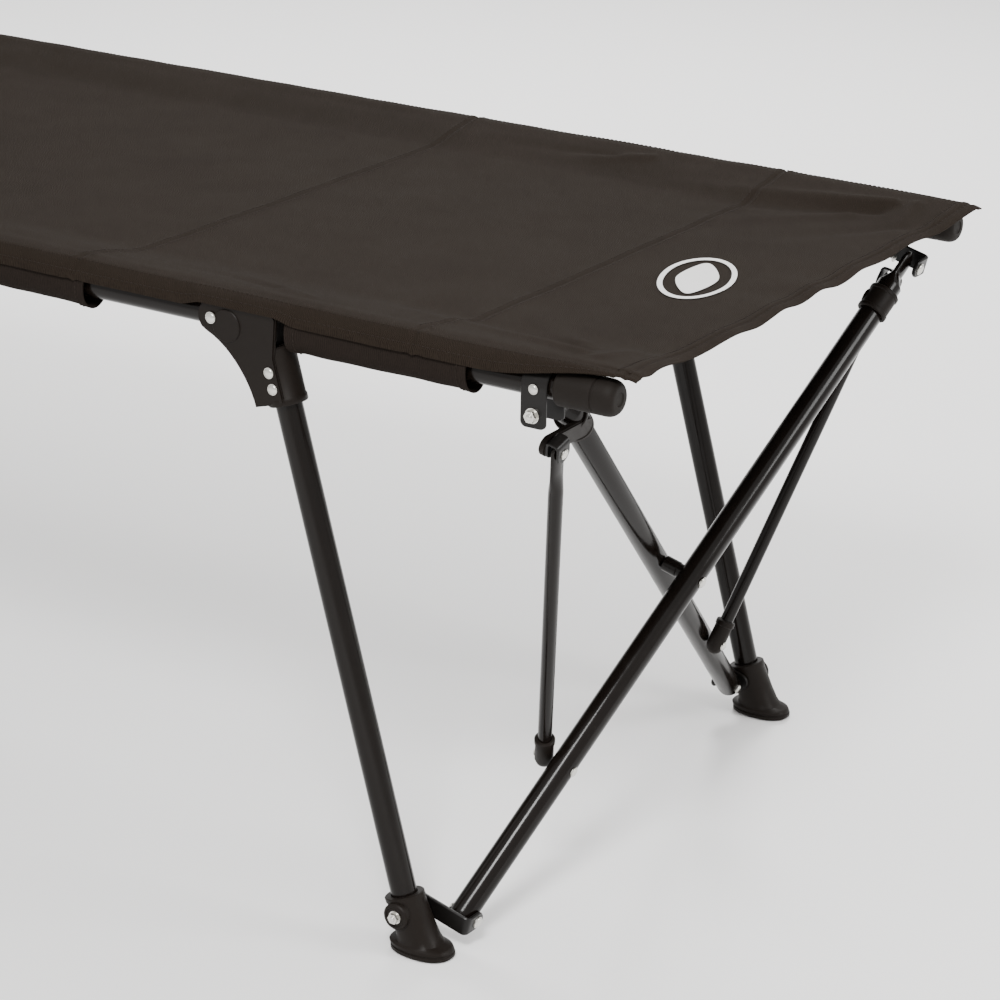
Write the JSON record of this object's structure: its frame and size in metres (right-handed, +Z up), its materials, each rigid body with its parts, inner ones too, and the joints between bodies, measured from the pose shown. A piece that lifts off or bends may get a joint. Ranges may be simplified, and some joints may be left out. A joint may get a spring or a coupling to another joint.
{
  "type": "folding cot",
  "caption": "Folding camp cot: dark fabric bed on two hinged side rails, splayed tube legs with plastic boots, and a braced scissor frame at each end.",
  "frame": {"origin": "ground level under the middle of the bed", "axes": "+X towards the foot end, +Y towards the sleeper's left, +Z up"},
  "size_m": [1.93, 0.6228, 0.5796],
  "materials": {
    "steel": "gloss black powder coat on steel tube",
    "plastic": "moulded black plastic, fine texture",
    "bed_fabric": "dark brown-black woven polyester, plain weave",
    "pillow_fabric": "dark brown-black woven polyester over filling"
  },
  "bodies": {
    "foot_right_leg": {"foot_right_leg_tube": "steel", "foot_right_leg_knuckle": "plastic", "foot_right_leg_foot": "plastic"},
    "foot_right_mid": {"foot_right_mid_rail": "steel", "foot_right_centre_hinge": "plastic", "foot_mid_panel": "bed_fabric"},
    "foot_right_end": {"foot_right_end_rail": "steel", "foot_right_end_bracket": "steel", "foot_right_end_cap": "plastic", "foot_end_panel": "bed_fabric"},
    "foot_right_clevis": {"foot_right_foot_clevis": "steel"},
    "foot_right_diagonal": {"foot_right_diagonal_tube": "steel"},
    "foot_right_yoke": {"foot_right_top_yoke": "steel"},
    "foot_right_strut": {"foot_right_brace_strut": "steel"},
    "foot_right_collar": {"foot_right_slide_collar": "plastic"},
    "foot_left_leg": {"foot_left_leg_tube": "steel", "foot_left_leg_knuckle": "plastic", "foot_left_leg_foot": "plastic"},
    "foot_left_mid": {"foot_left_mid_rail": "steel", "foot_left_centre_hinge": "plastic"},
    "foot_left_end": {"foot_left_end_rail": "steel", "foot_left_end_bracket": "steel", "foot_left_end_cap": "plastic"},
    "foot_left_clevis": {"foot_left_foot_clevis": "steel"},
    "foot_left_diagonal": {"foot_left_diagonal_tube": "steel"},
    "foot_left_yoke": {"foot_left_top_yoke": "steel"},
    "foot_left_strut": {"foot_left_brace_strut": "steel"},
    "foot_left_collar": {"foot_left_slide_collar": "plastic"},
    "head_right_leg": {"head_right_leg_tube": "steel", "head_right_leg_knuckle": "plastic", "head_right_leg_foot": "plastic"},
    "head_right_mid": {"head_right_mid_rail": "steel", "head_right_centre_hinge": "plastic", "head_mid_panel": "bed_fabric"},
    "head_right_end": {"head_right_end_rail": "steel", "head_right_end_bracket": "steel", "head_right_end_cap": "plastic", "head_end_panel": "bed_fabric", "pillow": "pillow_fabric"},
    "head_right_clevis": {"head_right_foot_clevis": "steel"},
    "head_right_diagonal": {"head_right_diagonal_tube": "steel"},
    "head_right_yoke": {"head_right_top_yoke": "steel"},
    "head_right_strut": {"head_right_brace_strut": "steel"},
    "head_right_collar": {"head_right_slide_collar": "plastic"},
    "head_left_leg": {"head_left_leg_tube": "steel", "head_left_leg_knuckle": "plastic", "head_left_leg_foot": "plastic"},
    "head_left_mid": {"head_left_mid_rail": "steel", "head_left_centre_hinge": "plastic"},
    "head_left_end": {"head_left_end_rail": "steel", "head_left_end_bracket": "steel", "head_left_end_cap": "plastic"},
    "head_left_clevis": {"head_left_foot_clevis": "steel"},
    "head_left_diagonal": {"head_left_diagonal_tube": "steel"},
    "head_left_yoke": {"head_left_top_yoke": "steel"},
    "head_left_strut": {"head_left_brace_strut": "steel"},
    "head_left_collar": {"head_left_slide_collar": "plastic"}
  },
  "joints": [
    {"name": "frame_fold", "type": "hinge", "parent": "foot_right_leg", "child": "foot_right_mid", "pos_m": [0.589, -0.29, 0.512], "axis": [0, 1, 0], "range_deg": [0, 77.74], "deforming": ["foot_mid_panel", "foot_end_panel", "head_mid_panel", "head_end_panel", "pillow"]},
    {"name": "foot_right_end_fold", "type": "hinge", "parent": "foot_right_leg", "child": "foot_right_end", "pos_m": [0.668, -0.29, 0.508], "axis": [0, -1, 0], "range_deg": [0, 79.36]},
    {"name": "foot_right_clevis_tilt", "type": "hinge", "parent": "foot_right_leg", "child": "foot_right_clevis", "pos_m": [0.771, -0.29, 0.034], "axis": [0, -1, 0], "range_deg": [0, 18.34]},
    {"name": "foot_right_diagonal_swing", "type": "hinge", "parent": "foot_right_clevis", "child": "foot_right_diagonal", "pos_m": [0.8039, -0.258, 0.02542], "axis": [0.9676, 0, -0.2525], "range_deg": [0, 38.64]},
    {"name": "foot_right_yoke_swing", "type": "hinge", "parent": "foot_right_diagonal", "child": "foot_right_yoke", "pos_m": [0.9229, 0.258, 0.48141], "axis": [-0.9676, 0, 0.2525], "range_deg": [0, 38.64]},
    {"name": "foot_left_end_fold", "type": "hinge", "parent": "foot_right_yoke", "child": "foot_left_end", "pos_m": [0.89, 0.29, 0.49], "axis": [0, -1, 0], "range_deg": [0, 61.07]},
    {"name": "foot_left_leg_fold", "type": "hinge", "parent": "foot_left_end", "child": "foot_left_leg", "pos_m": [0.668, 0.29, 0.508], "axis": [0, 1, 0], "range_deg": [0, 79.36]},
    {"name": "foot_left_mid_fold", "type": "hinge", "parent": "foot_left_leg", "child": "foot_left_mid", "pos_m": [0.589, 0.29, 0.512], "axis": [0, 1, 0], "range_deg": [0, 77.79]},
    {"name": "foot_left_clevis_tilt", "type": "hinge", "parent": "foot_left_leg", "child": "foot_left_clevis", "pos_m": [0.771, 0.29, 0.034], "axis": [0, -1, 0], "range_deg": [0, 18.34]},
    {"name": "foot_left_diagonal_swing", "type": "hinge", "parent": "foot_left_clevis", "child": "foot_left_diagonal", "pos_m": [0.76616, 0.258, 0.03526], "axis": [-0.9676, 0, 0.2525], "range_deg": [0, 38.64]},
    {"name": "foot_left_yoke_swing", "type": "hinge", "parent": "foot_left_diagonal", "child": "foot_left_yoke", "pos_m": [0.88516, -0.258, 0.49126], "axis": [0.9676, 0, -0.2525], "range_deg": [0, 38.64]},
    {"name": "right_centre_fold", "type": "hinge", "parent": "foot_right_mid", "child": "head_right_mid", "pos_m": [0, -0.29, 0.482], "axis": [0, -1, 0], "range_deg": [0, 180.05]},
    {"name": "head_right_leg_fold", "type": "hinge", "parent": "head_right_mid", "child": "head_right_leg", "pos_m": [-0.589, -0.29, 0.512], "axis": [0, 1, 0], "range_deg": [0, 77.79]},
    {"name": "head_right_end_fold", "type": "hinge", "parent": "head_right_leg", "child": "head_right_end", "pos_m": [-0.668, -0.29, 0.508], "axis": [0, 1, 0], "range_deg": [0, 79.36]},
    {"name": "head_right_clevis_tilt", "type": "hinge", "parent": "head_right_leg", "child": "head_right_clevis", "pos_m": [-0.771, -0.29, 0.034], "axis": [0, 1, 0], "range_deg": [0, 18.34]},
    {"name": "head_right_diagonal_swing", "type": "hinge", "parent": "head_right_clevis", "child": "head_right_diagonal", "pos_m": [-0.76616, -0.258, 0.03526], "axis": [0.9676, 0, 0.2525], "range_deg": [0, 38.64]},
    {"name": "head_right_yoke_swing", "type": "hinge", "parent": "head_right_diagonal", "child": "head_right_yoke", "pos_m": [-0.88516, 0.258, 0.49126], "axis": [-0.9676, 0, -0.2525], "range_deg": [0, 38.64]},
    {"name": "left_centre_fold", "type": "hinge", "parent": "foot_left_mid", "child": "head_left_mid", "pos_m": [0, 0.29, 0.482], "axis": [0, -1, 0], "range_deg": [0, 180.05]},
    {"name": "head_left_leg_fold", "type": "hinge", "parent": "head_left_mid", "child": "head_left_leg", "pos_m": [-0.589, 0.29, 0.512], "axis": [0, 1, 0], "range_deg": [0, 77.79]},
    {"name": "head_left_end_fold", "type": "hinge", "parent": "head_left_leg", "child": "head_left_end", "pos_m": [-0.668, 0.29, 0.508], "axis": [0, 1, 0], "range_deg": [0, 79.36]},
    {"name": "head_left_clevis_tilt", "type": "hinge", "parent": "head_left_leg", "child": "head_left_clevis", "pos_m": [-0.771, 0.29, 0.034], "axis": [0, 1, 0], "range_deg": [0, 18.34]},
    {"name": "head_left_diagonal_swing", "type": "hinge", "parent": "head_left_clevis", "child": "head_left_diagonal", "pos_m": [-0.8039, 0.258, 0.02542], "axis": [-0.9676, 0, -0.2525], "range_deg": [0, 38.64]},
    {"name": "head_left_yoke_swing", "type": "hinge", "parent": "head_left_diagonal", "child": "head_left_yoke", "pos_m": [-0.9229, -0.258, 0.48141], "axis": [0.9676, 0, 0.2525], "range_deg": [0, 38.64]},
    {"name": "foot_right_strut_swing", "type": "hinge", "parent": "foot_right_diagonal", "child": "foot_right_strut", "pos_m": [0.81057, -0.14724, 0.12822], "axis": [-0.9676, 0, 0.2525], "range_deg": [0, 54.63]},
    {"name": "foot_right_collar_slide", "type": "slide", "parent": "foot_left_diagonal", "child": "foot_right_collar", "axis": [-0.1703, 0.7384, -0.6525], "range_m": [0, 0.17043]},
    {"name": "foot_left_strut_swing", "type": "hinge", "parent": "foot_left_diagonal", "child": "foot_left_strut", "pos_m": [0.81057, 0.14724, 0.12822], "axis": [0.9676, 0, -0.2525], "range_deg": [0, 54.63]},
    {"name": "foot_left_collar_slide", "type": "slide", "parent": "foot_right_diagonal", "child": "foot_left_collar", "axis": [-0.1703, -0.7384, -0.6525], "range_m": [0, 0.17043]},
    {"name": "head_right_strut_swing", "type": "hinge", "parent": "head_right_diagonal", "child": "head_right_strut", "pos_m": [-0.81057, -0.14724, 0.12822], "axis": [-0.9676, 0, -0.2525], "range_deg": [0, 54.63]},
    {"name": "head_right_collar_slide", "type": "slide", "parent": "head_left_diagonal", "child": "head_right_collar", "axis": [0.1703, 0.7384, -0.6525], "range_m": [0, 0.17043]},
    {"name": "head_left_strut_swing", "type": "hinge", "parent": "head_left_diagonal", "child": "head_left_strut", "pos_m": [-0.81057, 0.14724, 0.12822], "axis": [0.9676, 0, 0.2525], "range_deg": [0, 54.63]},
    {"name": "head_left_collar_slide", "type": "slide", "parent": "head_right_diagonal", "child": "head_left_collar", "axis": [0.1703, -0.7384, -0.6525], "range_m": [0, 0.17043]}
  ],
  "couplings": [
    {"joint": "foot_right_end_fold", "follows": "frame_fold", "ratio": 1.0202},
    {"joint": "foot_right_clevis_tilt", "follows": "frame_fold", "ratio": 0.23529},
    {"joint": "foot_right_diagonal_swing", "follows": "frame_fold", "ratio": 0.49645},
    {"joint": "foot_right_yoke_swing", "follows": "frame_fold", "ratio": 0.49645},
    {"joint": "foot_left_end_fold", "follows": "frame_fold", "ratio": 0.78488},
    {"joint": "foot_left_leg_fold", "follows": "frame_fold", "ratio": 1.0202},
    {"joint": "foot_left_mid_fold", "follows": "frame_fold", "ratio": 1},
    {"joint": "foot_left_clevis_tilt", "follows": "frame_fold", "ratio": 0.23529},
    {"joint": "foot_left_diagonal_swing", "follows": "frame_fold", "ratio": 0.49645},
    {"joint": "foot_left_yoke_swing", "follows": "frame_fold", "ratio": 0.49645},
    {"joint": "right_centre_fold", "follows": "frame_fold", "ratio": 2.3154},
    {"joint": "head_right_leg_fold", "follows": "frame_fold", "ratio": 1},
    {"joint": "head_right_end_fold", "follows": "frame_fold", "ratio": 1.0202},
    {"joint": "head_right_clevis_tilt", "follows": "frame_fold", "ratio": 0.23529},
    {"joint": "head_right_diagonal_swing", "follows": "frame_fold", "ratio": 0.49645},
    {"joint": "head_right_yoke_swing", "follows": "frame_fold", "ratio": 0.49645},
    {"joint": "left_centre_fold", "follows": "frame_fold", "ratio": 2.3154},
    {"joint": "head_left_leg_fold", "follows": "frame_fold", "ratio": 1},
    {"joint": "head_left_end_fold", "follows": "frame_fold", "ratio": 1.0202},
    {"joint": "head_left_clevis_tilt", "follows": "frame_fold", "ratio": 0.23529},
    {"joint": "head_left_diagonal_swing", "follows": "frame_fold", "ratio": 0.49645},
    {"joint": "head_left_yoke_swing", "follows": "frame_fold", "ratio": 0.49645},
    {"joint": "foot_right_strut_swing", "follows": "frame_fold", "ratio": 0.70203},
    {"joint": "foot_right_collar_slide", "follows": "frame_fold", "m_per_rad": 0.12546},
    {"joint": "foot_left_strut_swing", "follows": "frame_fold", "ratio": 0.70203},
    {"joint": "foot_left_collar_slide", "follows": "frame_fold", "m_per_rad": 0.12546},
    {"joint": "head_right_strut_swing", "follows": "frame_fold", "ratio": 0.70203},
    {"joint": "head_right_collar_slide", "follows": "frame_fold", "m_per_rad": 0.12546},
    {"joint": "head_left_strut_swing", "follows": "frame_fold", "ratio": 0.70203},
    {"joint": "head_left_collar_slide", "follows": "frame_fold", "m_per_rad": 0.12546}
  ]
}
